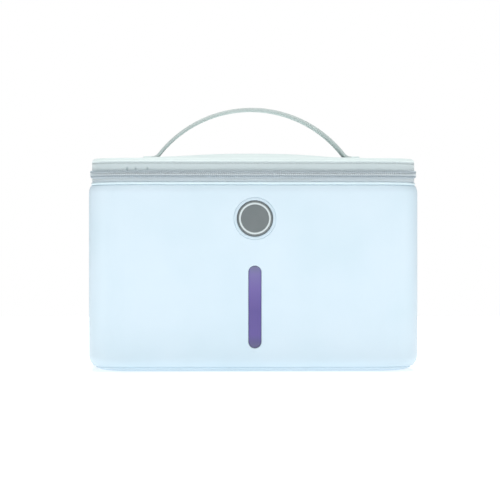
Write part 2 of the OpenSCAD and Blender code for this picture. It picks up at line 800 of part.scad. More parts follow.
module zip_pull() color([0.8, 0.82, 0.83]) difference() {
  union() {
    translate([pin_x, -eye_w / 2, pin_z]) bar_y(eye_d, eye_w);
    translate([pin_x - pull_t / 2, -eye_w / 2, pin_z - pull_w]) cube([pull_t, eye_w, pull_w]);
    translate([pin_x - pull_t / 2, 0, pin_z - (pull_w / 2 + pull_l) / 2 - pull_w / 4]) rotate([90, 0, 90])
      linear_extrude(pull_t) rounded(pull_w, pull_l - pull_w, pull_edge_r);
  }
  translate([pin_x, -eye_w, pin_z]) bar_y(pin_d + 2 * pin_play, 2 * eye_w);
}

module front_zip_pull() translate([0, front_slider_y, 0]) zip_pull();

module rear_zip_pull() translate([0, rear_slider_y, 0]) zip_pull();

body_shell();
rim_piping();
lower_zip_tape();
lower_zip_coil();
zip_end_stops();
lower_hinge_leaf();
inner_tub();
button_bezel();
tact_switch();
control_board();
control_screws();
lid_sensor();
window_lens();
light_guide();
indicator_board();
base_chassis();
battery_pack();
base_lamp_board();
base_lamp_lenses();
base_screws();
charge_board();
charge_socket();
charge_socket_rim();
power_button();
button_ring();
lid_shell();
upper_zip_tape();
upper_zip_coil();
upper_hinge_leaf();
lid_lining();
lid_lamp_board();
lid_lamp_lenses();
sensor_magnet();
handle_strap();
handle_backing_plates();
handle_screws();
front_zip_slider();
rear_zip_slider();
front_zip_pull();
rear_zip_pull();
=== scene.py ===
import math

import bmesh
import bpy
import numpy as np
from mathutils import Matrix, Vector


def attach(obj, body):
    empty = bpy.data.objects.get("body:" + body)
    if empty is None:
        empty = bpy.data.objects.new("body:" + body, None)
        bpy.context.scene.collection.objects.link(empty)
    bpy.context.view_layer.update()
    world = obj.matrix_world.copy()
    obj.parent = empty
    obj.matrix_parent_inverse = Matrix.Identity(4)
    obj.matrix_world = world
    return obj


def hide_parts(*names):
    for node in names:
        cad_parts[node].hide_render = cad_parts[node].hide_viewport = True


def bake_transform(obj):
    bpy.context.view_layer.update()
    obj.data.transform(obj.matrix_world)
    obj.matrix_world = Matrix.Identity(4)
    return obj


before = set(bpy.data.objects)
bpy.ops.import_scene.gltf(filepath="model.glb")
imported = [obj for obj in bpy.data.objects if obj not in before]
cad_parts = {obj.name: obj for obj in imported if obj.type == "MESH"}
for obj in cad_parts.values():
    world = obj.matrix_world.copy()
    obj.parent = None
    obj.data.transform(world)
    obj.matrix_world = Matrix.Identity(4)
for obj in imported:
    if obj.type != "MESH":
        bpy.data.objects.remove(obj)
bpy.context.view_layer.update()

# Shapes are worked out in the construction's millimetres and become metres as they go into a mesh
mm = 0.001

# The camera stands two metres off and a little to the left, level with the middle of the case
cameraSet = {"azimuth": -2.0, "distance": 2000.0, "aim": (-4.0, -87.5, 99.3), "lens": 178.0, "sensor": 36.0}

turned = math.radians(cameraSet["azimuth"])
sight = Vector((-math.sin(turned), math.cos(turned), 0))
lensData = bpy.data.cameras.new("camera")
lensData.lens = cameraSet["lens"]
lensData.sensor_width = cameraSet["sensor"]
cameraObject = bpy.data.objects.new("camera", lensData)
bpy.context.scene.collection.objects.link(cameraObject)
cameraObject.location = (Vector(cameraSet["aim"]) - sight * cameraSet["distance"]) * mm
cameraObject.rotation_euler = (math.pi / 2, 0, turned)
bpy.context.scene.camera = cameraObject
print("camera set")


def toLinear(hexText):
    # sRGB hex to linear light: below 0.04045 a straight share, above it a power of 2.4
    parts = np.array([int(hexText[i:i + 2], 16) / 255 for i in (1, 3, 5)])
    low, high = parts / 12.92, ((parts + 0.055) / 1.055) ** 2.4
    return (*np.where(parts <= 0.04045, low, high).tolist(), 1.0)


def addNode(tree, kind, settings=None, inputs=None):
    # adds one node with its own settings; an input is a value, or the output that feeds it
    node = tree.nodes.new("ShaderNode" + kind)
    for key, value in (settings or {}).items():
        setattr(node, key, value)
    for key, value in (inputs or {}).items():
        if isinstance(value, bpy.types.NodeSocket):
            tree.links.new(value, node.inputs[key])
        else:
            node.inputs[key].default_value = value
    return node


def newMaterial(name, colour, rough, extra=None):
    # a principled surface, with its tree, its shader and its place on the object in millimetres
    material = bpy.data.materials.new(name)
    material.use_nodes = True
    tree = material.node_tree
    tree.nodes.clear()
    shader = addNode(tree, "BsdfPrincipled", None,
                     {"Base Color": toLinear(colour), "Roughness": rough, **(extra or {})})
    addNode(tree, "OutputMaterial", None, {"Surface": shader.outputs[0]})
    place = addNode(tree, "TexCoord").outputs["Object"]
    scaled = addNode(tree, "VectorMath", {"operation": "SCALE"}, {0: place, "Scale": 1 / mm}).outputs[0]
    return material, tree, shader, scaled


def addGrain(tree, shader, place, size, depth):
    # a raised grain of the given size and depth in millimetres
    grain = addNode(tree, "TexNoise", None, {"Vector": place, "Scale": 1 / size, "Detail": 3.0})
    bump = addNode(tree, "Bump", None, {"Height": grain.outputs[0], "Distance": depth * mm, "Strength": 1.0})
    tree.links.new(bump.outputs[0], shader.inputs["Normal"])


def grained(name, colour, rough, size, depth, extra=None):
    # one colour under one grain
    material, tree, shader, place = newMaterial(name, colour, rough, extra)
    addGrain(tree, shader, place, size, depth)
    return material


def addRamp(tree, shader, factor, stops):
    # the base colour runs through (share, colour) stops as the factor rises
    ramp = addNode(tree, "ValToRGB", None, {"Fac": factor})
    elements = ramp.color_ramp.elements
    elements[0].position, elements[1].position = stops[0][0], stops[-1][0]
    for share, _ in stops[1:-1]:
        elements.new(share)
    for element, (_, colour) in zip(elements, stops):
        element.color = toLinear(colour)
    tree.links.new(ramp.outputs[0], shader.inputs["Base Color"])


def addMottle(tree, shader, place, size, light, dark):
    # slow clouds between two close colours, size millimetres across
    cloud = addNode(tree, "TexNoise", None, {"Vector": place, "Scale": 1 / size, "Detail": 2.0})
    addRamp(tree, shader, cloud.outputs[0], [(0.35, dark), (0.65, light)])


def heightShare(tree, place, low, high):
    # 0 to 1 between two heights in millimetres
    height = addNode(tree, "SeparateXYZ", None, {"Vector": place}).outputs[2]
    return addNode(tree, "MapRange", None, {"Value": height, "From Min": low, "From Max": high}).outputs[0]


# Moulded EVA foam under a thin skin: satin, with a fine pebble that softens every reflection
mouldedEva, tree, shader, place = newMaterial("mouldedEva", "#D2E5F0", 0.44,
                                              {"Coat Weight": 0.14, "Coat Roughness": 0.28})
addMottle(tree, shader, place, 60, "#D4E6F1", "#CFE3EE")
addGrain(tree, shader, place, 0.7, 0.035)

# The same foam in the lid, under a paler skin with a softer touch
padSkin, tree, shader, place = newMaterial("padSkin", "#E6F4F3", 0.6, {"Sheen Weight": 0.15})
addMottle(tree, shader, place, 45, "#E8F6F5", "#E2F1F0")
addGrain(tree, shader, place, 0.8, 0.05)

# Extruded vinyl welt on the lip: smoother than the shell, so it draws one bright line
weltVinyl = grained("weltVinyl", "#DAEEF5", 0.34, 0.5, 0.015)


def wovenTape(name, light, dark, pitch):
    # woven polyester tape: threads cross at the pitch, read from the piece's own thread lines
    material, tree, shader, _ = newMaterial(name, light, 0.82, {"Sheen Weight": 0.25, "Sheen Roughness": 0.5})
    lines = addNode(tree, "Attribute", {"attribute_name": "threads"}).outputs["Vector"]
    split = addNode(tree, "SeparateXYZ", None, {"Vector": lines})
    waves = []
    for axis in (0, 1):
        step = addNode(tree, "Math", {"operation": "MULTIPLY"}, {0: split.outputs[axis], 1: math.pi / pitch})
        waves.append(addNode(tree, "Math", {"operation": "SINE"}, {0: step.outputs[0]}).outputs[0])
    weave = addNode(tree, "Math", {"operation": "MULTIPLY"}, {0: waves[0], 1: waves[1]})
    spread = addNode(tree, "MapRange", None, {"Value": weave.outputs[0], "From Min": -1.0, "From Max": 1.0})
    addRamp(tree, shader, spread.outputs[0], [(0, dark), (1, light)])
    bump = addNode(tree, "Bump", None, {"Height": spread.outputs[0], "Distance": 0.12 * mm, "Strength": 0.8})
    tree.links.new(bump.outputs[0], shader.inputs["Normal"])
    return material


# Woven zip tape, threads drawn at 0.7 mm because the real 0.3 mm can't show
tapeWeave = wovenTape("tapeWeave", "#CEDBDD", "#BAC8CC", 0.7)
# the lower tape's copy is darker: painted shade, standing in for the coil's shadow on it
shadedTapeWeave = wovenTape("shadedTapeWeave", "#C6D2D9", "#B0BEC6", 0.7)
hingeWeave = wovenTape("hingeWeave", "#CEDBDD", "#BAC8CC", 0.8)

# Heights of each half of the coil: its sewn edge, its heads, and the heads where they stay apart
coilSet = {"low": (158.4, 161.65, 160.7), "high": (164.2, 160.95, 161.9)}

# Nylon monofilament wound into a coil: each loop has its own glint. Its colour holds painted light and shade:
# pale where the heads meet, a painted highlight, and darker on both sides of them, painted shade by the sewn edges
coilNylon, tree, shader, place = newMaterial("coilNylon", "#BCC8CE", 0.38)
# painted light and shade by height: pale bands for the highlight on the heads, dark bands for the shade beside them
addRamp(tree, shader, heightShare(tree, place, coilSet["low"][0], coilSet["high"][0]),
        [(0.02, "#A6B3BA"), (0.2, "#94A1A9"), (0.36, "#D6E0E4"), (0.5, "#DBE5E9"), (0.64, "#B4C0C6"),
         (0.78, "#98A5AC"), (0.94, "#D8E4EA")])
addGrain(tree, shader, place, 0.4, 0.01)

# Coated strap: a matt polymer skin over webbing, with a close leather-like grain
coatedStrap, tree, shader, place = newMaterial("coatedStrap", "#CDD7D5", 0.58)
sideways = addNode(tree, "SeparateXYZ", None, {"Vector": place}).outputs[0]
away = addNode(tree, "Math", {"operation": "ABSOLUTE"}, {0: sideways}).outputs[0]
# the foot's toe is welded over in the lid's own skin, so the grey ends at its bend
toe = addNode(tree, "MapRange", None, {"Value": away, "From Min": 83.4, "From Max": 84.8}).outputs[0]
addRamp(tree, shader, toe, [(0, "#CDD7D5"), (1, "#E4F1F0")])
addGrain(tree, shader, place, 0.9, 0.07)

# Spun polyester sewing thread
sewingThread = grained("sewingThread", "#BCC7C7", 0.7, 0.25, 0.03, {"Sheen Weight": 0.3})

# Moulded ABS of the button, spark-eroded to a fine satin
satinAbs, tree, shader, place = newMaterial("satinAbs", "#6F787A", 0.42)
addMottle(tree, shader, place, 12, "#71797B", "#6C7577")
addGrain(tree, shader, place, 0.35, 0.015)

# The pale ring: opal acrylic pressed into the button's groove
opalAcrylic = grained("opalAcrylic", "#D0DBDD", 0.28, 0.6, 0.006, {"Coat Weight": 0.3})

# The bezel: ABS in the shell's colour, a touch glossier than the foam
bezelAbs = grained("bezelAbs", "#C9DCE7", 0.4, 0.4, 0.01)

# Tinted acrylic window: deep violet; the board's glow is painted into its colour, so it is paler and bluer towards
# its top where the board's light is off
windowSet = {"middle": 53.2, "half": 28.2, "radius": 5.15, "hole": 5.3}
windowTall = windowSet["half"] + windowSet["radius"]
windowAcrylic, tree, shader, place = newMaterial("windowAcrylic", "#665699", 0.22,
                                                 {"Coat Weight": 0.5, "Coat Roughness": 0.08})
# painted light: the ramp runs from the glowing deep violet low down to a paler, bluer violet at the top
addRamp(tree, shader, heightShare(tree, place, windowSet["middle"] - windowTall, windowSet["middle"] + windowTall),
        [(0, "#4C4C76"), (0.06, "#4E4880"), (0.16, "#584894"), (0.45, "#5D4F95"), (0.72, "#7062A5"),
         (0.9, "#7870A8"), (1, "#727694")])
addGrain(tree, shader, place, 1.2, 0.01)

# Aluminised film on the tub and the lid: bright, and never quite flat where it is glued down
foilFilm, tree, shader, place = newMaterial("foilFilm", "#D9DCDF", 0.24, {"Metallic": 1.0})
creases = addNode(tree, "TexVoronoi", {"feature": "SMOOTH_F1"},
                  {"Vector": place, "Scale": 1 / 14, "Smoothness": 0.6})
bump = addNode(tree, "Bump", None, {"Height": creases.outputs[0], "Distance": 0.5 * mm, "Strength": 0.5})
tree.links.new(bump.outputs[0], shader.inputs["Normal"])

# Glass-fibre board under green solder mask, the copper showing through as slightly lighter paths
solderMask, tree, shader, place = newMaterial("solderMask", "#1F5A3C", 0.35, {"Coat Weight": 0.4})
paths = addNode(tree, "TexBrick", None, {"Vector": place, "Scale": 0.2, "Mortar Size": 0.03,
                                         "Color1": toLinear("#1F5A3C"), "Color2": toLinear("#235F41"),
                                         "Mortar": toLinear("#3F8560")})
tree.links.new(paths.outputs[0], shader.inputs["Base Color"])

# White solder mask of the lamp boards
lampMask, tree, shader, place = newMaterial("lampMask", "#E4E6E3", 0.4)
addMottle(tree, shader, place, 8, "#E8EAE7", "#DEE1DD")

# Fused quartz over each lamp: clear, with a cold tint
fusedQuartz = grained("fusedQuartz", "#D4E2EE", 0.08, 1.5, 0.01, {"Transmission Weight": 0.6, "IOR": 1.46})

# Die-cast zinc, nickel plated, tumbled soft
castZinc = grained("castZinc", "#C6CACC", 0.28, 0.6, 0.02, {"Metallic": 1.0})

# Zinc-plated steel of the screws and plates, a little duller
platedSteel = grained("platedSteel", "#B4B8BA", 0.38, 0.3, 0.015, {"Metallic": 1.0})

# Plain injection-moulded plastics of the inside: chassis, switch and socket rim
whiteMoulding = grained("whiteMoulding", "#DFE1E2", 0.5, 0.5, 0.02)
darkMoulding = grained("darkMoulding", "#26272A", 0.45, 0.4, 0.02)
greyMoulding = grained("greyMoulding", "#A3AEB4", 0.44, 0.4, 0.02)

# Shrunk PVC sleeve of the battery pack
shrinkSleeve = grained("shrinkSleeve", "#3A5284", 0.3, 4.0, 0.1)
print("materials made")


def gridFaces(rows, columns, closeRows=False, closeColumns=False):
    # four-sided faces between neighbouring points of a grid, with its ends joined where it closes
    index = np.arange(rows * columns).reshape(rows, columns)
    if closeRows:
        index = np.vstack([index, index[:1]])
    if closeColumns:
        index = np.hstack([index, index[:, :1]])
    return np.stack([index[:-1, :-1], index[1:, :-1], index[1:, 1:], index[:-1, 1:]], -1).reshape(-1, 4)


def tubeFaces(rows, columns):
    # the sides of a closed tube, and a face on each end
    sides = gridFaces(rows, columns, False, True).tolist()
    return sides + [list(range(columns)), list(range((rows - 1) * columns, rows * columns))]


def gather(parts):
    # several (points, faces) as one, each part's faces moved past the points before it
    points = [np.asarray(p, float).reshape(-1, 3) for p, _ in parts]
    starts = np.cumsum([0] + [len(p) for p in points[:-1]])
    moved = [[i + start for i in face] for (_, f), start in zip(parts, starts.tolist())
             for face in (f.tolist() if isinstance(f, np.ndarray) else f)]
    return np.concatenate(points), moved


def putPiece(name, points, faces, material, body=None, replaces=(), threads=None, sharp=40.0):
    # the mesh in metres: doubled points merged, faces turned outwards, smooth apart from its true edges
    mesh = bpy.data.meshes.new(name)
    mesh.from_pydata((np.asarray(points, float).reshape(-1, 3) * mm).tolist(), [],
                     faces if isinstance(faces, list) else faces.tolist())
    if threads is not None:
        field = mesh.attributes.new("threads", "FLOAT_VECTOR", "POINT")
        field.data.foreach_set("vector", np.asarray(threads, np.float32).ravel())
    shape = bmesh.new()
    shape.from_mesh(mesh)
    bmesh.ops.remove_doubles(shape, verts=shape.verts, dist=0.002 * mm)
    bmesh.ops.dissolve_degenerate(shape, edges=shape.edges, dist=0.0005 * mm)
    bmesh.ops.recalc_face_normals(shape, faces=shape.faces)
    shape.to_mesh(mesh)
    shape.free()
    mesh.polygons.foreach_set("use_smooth", np.ones(len(mesh.polygons), bool))
    mesh.set_sharp_from_angle(angle=math.radians(sharp))
    mesh.materials.append(material)
    piece = bpy.data.objects.new(name, mesh)
    bpy.context.scene.collection.objects.link(piece)
    if body:
        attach(piece, body)
    if replaces:
        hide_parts(*replaces)
    return piece


caseSet = {"width": 270.0, "depth": 175.0, "corner": 33.0, "lip": 152.0, "wall": 4.4,
           "baseRound": 14.0, "fullness": 2.5, "baseRise": 3.0, "shoulderRound": 14.0, "shoulder": 6.5}
buttonSet = {"middle": (0, 0, 124.8), "front": -88.3, "radius": 14.3, "ringOut": 12.9, "ringIn": 11.4, "dish": 0.22}
socketSet = {"middle": (0, 0, 20.2), "half": (2.9, 0)}
straightA = caseSet["width"] / 2 - caseSet["corner"]
straightB = caseSet["depth"] / 2 - caseSet["corner"]


def outlineEdges(radius):
    # distances at which the outline's straights and corners begin, from the rear middle round by +X
    arc = math.pi / 2 * radius
    return np.cumsum([0, straightA, arc, 2 * straightB, arc, 2 * straightA, arc, 2 * straightB, arc, straightA])


def outlineAt(along, radius):
    # on a straight the point moves and the outward direction stays; in a corner the point stays and
    # the direction turns by distance over radius
    edges = outlineEdges(radius)
    part = np.clip(np.searchsorted(edges, along, side="right") - 1, 0, 8)
    a, b = straightA, straightB
    starts = np.array([(0, b), (a, b), (a, b), (a, -b), (a, -b), (-a, -b), (-a, -b), (-a, b), (-a, b)])
    steps = np.array([(1, 0), (0, 0), (0, -1), (0, 0), (-1, 0), (0, 0), (0, 1), (0, 0), (1, 0)])
    first = np.array([1, 1, 0, 0, -1, -1, -2, -2, -3]) * math.pi / 2
    inside = along - edges[part]
    angle = first[part] - (part % 2) * inside / radius
    return starts[part] + steps[part] * inside[:, None], np.stack([np.cos(angle), np.sin(angle)], 1)


def outlineStops(radius, stepA, stepB, arcCount):
    # even stops on each straight and corner, without the last, which is the first again
    edges = outlineEdges(radius)
    half, whole, side = (round(length / step) for length, step in
                         ((straightA, stepA), (2 * straightA, stepA), (2 * straightB, stepB)))
    counts = [half, arcCount, side, arcCount, whole, arcCount, side, arcCount, half]
    return np.concatenate([np.linspace(edges[i], edges[i + 1], n + 1)[:-1] for i, n in enumerate(counts)])


def carry(profile, along, radius):
    # carries a profile (distance from the corner's centre, height) along the outline
    base, out = outlineAt(along, radius)
    profile = np.asarray(profile, float)
    flat = base[:, None, :] + out[:, None, :] * profile[None, :, :1]
    return np.concatenate([flat, np.broadcast_to(profile[None, :, 1:], (*flat.shape[:2], 1))], 2)


def arcPoints(centre, radius, first, last, count):
    # an arc in degrees
    angle = np.radians(np.linspace(first, last, count))
    return np.stack([centre[0] + radius * np.cos(angle), centre[1] + radius * np.sin(angle)], 1)


def softStep(value, edge, width):
    # 0 below the edge and 1 above it, smooth over the width
    t = np.clip((value - edge) / width + 0.5, 0, 1)
    return t * t * (3 - 2 * t)


def thicken(line, thickness):
    # a closed outline: the line moved to each side by half the thickness, there and back
    line = np.asarray(line, float)
    way = np.gradient(line, axis=0)
    way /= np.linalg.norm(way, axis=1)[:, None]
    side = np.stack([way[:, 1], -way[:, 0]], 1) * thickness / 2
    return np.concatenate([line + side, (line - side)[::-1]])


def closedBand(profile, along, radius):
    # a closed profile along an open stretch of the outline
    points = carry(profile, along, radius)
    return points, tubeFaces(*points.shape[:2])


# The shell: its wall is flat, so the front and rear have their openings as patches of their own,
# between these heights and half widths
patchSet = {"low": 14, "rearTop": 29, "windowTop": 94, "buttonLow": 104, "top": 145.5, "half": 24, "rearHalf": 9}
shellRows = np.unique(np.concatenate([np.linspace(patchSet[low], patchSet[high], count) for low, high, count in (
    ("low", "rearTop", 7), ("rearTop", "windowTop", 27), ("windowTop", "buttonLow", 4), ("buttonLow", "top", 17))]))
groove = {"angle": 37.5, "wide": 2.8, "deep": 1.2}


def shellProfile():
    # outwards under the base, which lifts by the square of the distance, round its edge (fuller than a
    # circle: sine and cosine to a power above 2) with the mould's parting groove, up the wall, over
    # the shoulder to the lip, and back down the inside
    outer, lip, r = caseSet["corner"], caseSet["lip"], caseSet["baseRound"]
    inner = outer - caseSet["wall"]
    bends = np.unique(np.concatenate([np.linspace(0, 90, 19), groove["angle"] + np.linspace(-5, 5, 21)]))
    bends = bends[(bends >= 0) & (bends <= 90)]
    across, up, power = np.sin(np.radians(bends)), np.cos(np.radians(bends)), caseSet["fullness"]
    reach = r * (across ** power + abs(up) ** power) ** (-1 / power)
    reach -= groove["deep"] * np.exp(-((bends - groove["angle"]) / groove["wide"]) ** 4)
    base = np.stack([outer - r + reach * across, r - reach * up], 1)
    base[:, 1] += caseSet["baseRise"] * (base[:, 0] / outer) ** 2 * (1 - base[:, 1] / r)
    top = lip - caseSet["shoulder"]
    shoulder = arcPoints((outer - caseSet["shoulderRound"], top), caseSet["shoulderRound"], 0, 24, 8)
    t = np.linspace(0, 1, 7)[:, None]
    lipEnd = np.array([(31.4, lip)])
    rolled = (1 - t) ** 2 * shoulder[-1] + 2 * t * (1 - t) * lipEnd + t ** 2 * np.array([(30.3, lip)])
    outerWall = np.stack([np.full(len(shellRows), outer), shellRows], 1)
    innerWall = np.stack([np.full(len(shellRows), inner), shellRows], 1)[::-1]
    floor = arcPoints((outer - r, r), r - caseSet["wall"], 0, -90, 8)
    return np.concatenate([[(0, 0), (10, caseSet["baseRise"] * (10 / outer) ** 2)], base[:-1], outerWall[:-1],
                           shoulder[:-1], rolled, [(inner + 0.5, lip), (inner, lip - 0.5)], innerWall, floor[1:],
                           [(10, caseSet["wall"]), (0, caseSet["wall"])]])


def openingPatch(xs, zs, centre, half, rings):
    # the wall round an opening: rings run from a rectangle of the wall's own points to the opening's
    # edge, through the wall, and back out to the same rectangle on the inside.
    # Each ring is (share of the way to the rectangle, opening's radius, y)
    low, high = (np.stack([xs, np.full(len(xs), z)], 1) for z in (zs[0], zs[-1]))
    left, right = (np.stack([np.full(len(zs), x), zs], 1) for x in (xs[0], xs[-1]))
    rim = np.concatenate([low[:-1], right[:-1], high[:0:-1], left[:0:-1]])
    core = np.clip(rim, np.array(centre) - half, np.array(centre) + half)
    way = (rim - core) / np.linalg.norm(rim - core, axis=1)[:, None]
    rings = np.asarray(rings, float)
    edge = core[None] + way[None] * rings[:, 1, None, None]
    flat = edge + (rim[None] - edge) * rings[:, 0, None, None]
    depth = np.broadcast_to(rings[:, 2, None], flat.shape[:2])
    return np.stack([flat[..., 0], depth, flat[..., 1]], -1), gridFaces(len(rings), len(rim), False, True)


def roundedHole(radius, outerY, innerY, soft, way):
    # rings of a plain opening with softened outer edge; way is 1 where the inside lies towards +Y
    turnIn = np.radians(np.linspace(0, 90, 6))
    rings = [(t, radius + soft, outerY) for t in (1, 0.7, 0.4, 0.2, 0.08, 0.03)]
    rings += [(0, radius + soft * (1 - math.sin(a)), outerY + way * soft * (1 - math.cos(a))) for a in turnIn]
    rings += [(0, radius, innerY)]
    return rings + [(t, radius, innerY) for t in (0.1, 0.4, 1)]


def makeShell():
    along = outlineStops(caseSet["corner"], 3, straightB / 18, 20)
    profile = shellProfile()
    points = carry(profile, along, caseSet["corner"])
    faces = gridFaces(*points.shape[:2], True, False)
    middle = points.reshape(-1, 3)[faces].mean(1)
    front, rear = -caseSet["depth"] / 2, caseSet["depth"] / 2
    wall = caseSet["wall"]

    def covered(half, low, high, side):
        return (abs(middle[:, 0]) < half) & (middle[:, 2] > low) & (middle[:, 2] < high) & (middle[:, 1] * side > 82)

    half, rearHalf = patchSet["half"], patchSet["rearHalf"]
    gone = covered(half, patchSet["low"], patchSet["windowTop"], -1)
    gone |= covered(half, patchSet["buttonLow"], patchSet["top"], -1)
    gone |= covered(rearHalf, patchSet["low"], patchSet["rearTop"], 1)
    parts = [(points, faces[~gone])]
    xs, rearXs = np.linspace(-half, half, 17), np.linspace(-rearHalf, rearHalf, 7)
    lowRows, highRows = shellRows[shellRows <= patchSet["windowTop"]], shellRows[shellRows >= patchSet["buttonLow"]]
    parts.append(openingPatch(xs, lowRows, (0, windowSet["middle"]), (0, windowSet["half"]),
                              roundedHole(windowSet["hole"], front, front + wall, 0.7, 1)))
    # the button's opening is stepped: a seat for the bezel's flange, then the hole for its sleeve
    seat = [(t, 17.5, front) for t in (1, 0.7, 0.4, 0.2, 0.08)]
    seat += [(0, 17.5, front), (0, 17.3, front + 0.05), (0, 17.1, front + 0.25), (0, 17.02, front + 0.5),
             (0, 17.02, front + 1.2), (0, 15.62, front + 1.2), (0, 15.62, front + wall)]
    seat += [(t, 15.62, front + wall) for t in (0.1, 0.4, 1)]
    parts.append(openingPatch(xs, highRows, buttonSet["middle"][::2], (0, 0), seat))
    rearRows = shellRows[shellRows <= patchSet["rearTop"]]
    parts.append(openingPatch(rearXs, rearRows, socketSet["middle"][::2], socketSet["half"],
                              roundedHole(3.55, rear, rear - wall, 0.3, -1)))
    gridX, gridY = np.linspace(-straightA, straightA, 69), np.linspace(-straightB, straightB, 37)
    x, y = np.meshgrid(gridX, gridY, indexing="ij")
    for z in (0.0, wall):
        parts.append((np.stack([x, y, np.full(x.shape, z)], -1), gridFaces(*x.shape)))
    return gather(parts)


points, faces = makeShell()
putPiece("mouldedShell", points, faces, mouldedEva, "case", ["body_shell"])
print("shell made")

# The welt: one bead round the lip
weltSet = {"radius": 1.3, "middle": (29.9, 153.3)}
ring = arcPoints(weltSet["middle"], weltSet["radius"], 0, 360, 19)[:-1]
lipRadius = 30.0
along = outlineStops(lipRadius, 3, straightB / 18, 24)
points = carry(ring, along, lipRadius)
faces = gridFaces(*points.shape[:2], True, True)
putPiece("lipWelt", points, faces, weltVinyl, "case", ["rim_piping"])

# The zip: two tapes, each with half of a coil, from one end of the cloth hinge round to the other
zipSet = {"hinge": 176.0, "stop": 3.0, "tape": 0.8, "line": 30.1, "lidSeam": 169.75, "lipSeam": 156.7,
          "pitch": 1.6, "wire": 0.33, "cord": 0.42, "parted": (161.5, 183.5), "wave": 0.12, "spread": 1.6}
zipRadius = 30.5
zipLength = outlineEdges(zipRadius)[-1]


def zipStops(margin, step):
    # stops from one end of the zip to the other, the corners' ends among them
    start, end = zipSet["hinge"] / 2 + margin, zipLength - zipSet["hinge"] / 2 - margin
    even = np.linspace(start, end, round((end - start) / step) + 1)
    corners = outlineEdges(zipRadius)
    return np.unique(np.concatenate([even, corners[(corners > start) & (corners < end)]]))


def lowTapeLine(top):
    # up inside the shell, over the welt with two soft bends, and up to the coil
    hem = np.stack([np.full(6, 28.2), np.linspace(144.8, 154.2, 6)], 1)
    over = arcPoints((28.8, 154.4), 0.6, 180, 90, 5)
    out = arcPoints((29.68, 155.42), 0.42, -90, 0, 5)
    rise = np.stack([np.full(8, zipSet["line"]), np.linspace(155.9, top, 8)], 1)
    return np.concatenate([hem, over, out, rise])


def tapeBand(line, along, middle, puckers=()):
    # a band of cloth along the outline; near its middle height it moves in and out by slow waves, and
    # inwards at each short pucker (distance along the outline, depth)
    profile = thicken(line, zipSet["tape"])
    points, faces = closedBand(profile, along, zipRadius)
    out = outlineAt(along, zipRadius)[1]
    wave = zipSet["wave"] * (np.sin(along / 23) + 0.6 * np.sin(along / 9.1 + 1.3))
    for at, deep in puckers:
        wave = wave - deep * np.exp(-((along - at) / 0.6) ** 2)
    reach = wave[:, None] * np.exp(-((profile[None, :, 1] - middle) / zipSet["spread"]) ** 2)
    points[..., :2] += out[:, None, :] * reach[..., None]
    length = np.concatenate([[0], np.cumsum(np.linalg.norm(np.diff(profile, axis=0), axis=1))])
    threads = np.stack([np.broadcast_to(along[:, None], points.shape[:2]),
                        np.broadcast_to(length[None], points.shape[:2]), np.zeros(points.shape[:2])], -1)
    return points, faces, threads


# the lower tape takes the darker copy of the weave, its painted shade
points, faces, threads = tapeBand(lowTapeLine(160.6), zipStops(0, 1.5), 157.0)
putPiece("lowerTape", points, faces, shadedTapeWeave, "case", ["lower_zip_tape"], threads)

# The front's middle is half the outline away, and the puckers lie 87 to 104 mm left of it
puckers = [(zipLength / 2 + d, 1.5) for d in (87.0, 96.5, 103.5)]
rise = np.concatenate([np.linspace(162.0, 168.8, 14), np.linspace(169.0, 170.5, 9), [170.8, 171.0]])
# the seam pulls the tape in along a narrow groove
upLine = np.stack([zipSet["line"] - 0.75 * np.exp(-((rise - zipSet["lidSeam"]) / 0.42) ** 2), rise], 1)
points, faces, threads = tapeBand(upLine, zipStops(0, 0.6), 164.6, puckers)
putPiece("upperTape", points, faces, tapeWeave, "lid", ["upper_zip_tape"], threads)


def coilTube(sewn, head, apart):
    # a flattened helix from its sewn edge to its heads: height and reach follow the sine and cosine of
    # the turn, which advances by one for each pitch, and the heads stand proudest; a six-sided wire is
    # carried along it. Between the two sliders the heads stay apart
    margin = zipSet["hinge"] / 2 + zipSet["stop"] + 0.6
    turns = int((zipLength - 2 * margin) / zipSet["pitch"])
    angle = np.linspace(0, turns * 2 * math.pi, turns * 12 + 1)
    along = margin + angle / (2 * math.pi) * zipSet["pitch"]
    base, out = outlineAt(along, zipRadius)
    first, last = zipSet["parted"]
    parted = softStep(along, first, 5) * (1 - softStep(along, last, 5))
    tip = head + (apart - head) * parted
    inset = zipSet["wire"] * (1 if head > sewn else -1)
    middleZ, halfUp = (sewn + tip) / 2, (tip - sewn) / 2 - inset
    share = (1 + np.sin(angle) * np.sign(halfUp)) / 2
    share = share if head > sewn else 1 - share
    nearReach = 30.5 + zipSet["wire"] + 0.3 * share
    farReach = 31.3 + 0.7 * share
    reach = (nearReach + farReach) / 2 + (farReach - nearReach) / 2 * np.cos(angle)
    line = np.concatenate([base + out * reach[:, None], (middleZ + abs(halfUp) * np.sin(angle))[:, None]], 1)
    way = np.gradient(line, axis=0)
    way /= np.linalg.norm(way, axis=1)[:, None]
    outward = np.concatenate([out * np.cos(angle)[:, None], np.sin(angle)[:, None]], 1)
    outward -= way * (outward * way).sum(1)[:, None]
    outward /= np.linalg.norm(outward, axis=1)[:, None]
    across = np.cross(way, outward)
    sides = np.arange(6) * math.pi / 3
    points = line[:, None] + zipSet["wire"] * (np.cos(sides)[None, :, None] * outward[:, None]
                                               + np.sin(sides)[None, :, None] * across[:, None])
    # the filler cord lies inside the loops and closes the gaps between them
    few = slice(None, None, 12)
    core = np.concatenate([(base + out * reach.mean())[few], middleZ[few, None]], 1)
    round8 = np.arange(8) * math.pi / 4
    sideways = np.concatenate([out, np.zeros((len(out), 1))], 1)[few]
    cord = core[:, None] + zipSet["cord"] * (np.cos(round8)[None, :, None] * sideways[:, None]
                                             + np.sin(round8)[None, :, None] * np.array([0, 0, 1.6]))
    return gather([(points, tubeFaces(len(line), 6)), (cord, tubeFaces(len(core), 8))])


points, faces = coilTube(*coilSet["low"])
putPiece("lowerCoil", points, faces, coilNylon, "case", ["lower_zip_coil"], sharp=80)
points, faces = coilTube(*coilSet["high"])
putPiece("upperCoil", points, faces, coilNylon, "lid", ["upper_zip_coil"], sharp=80)


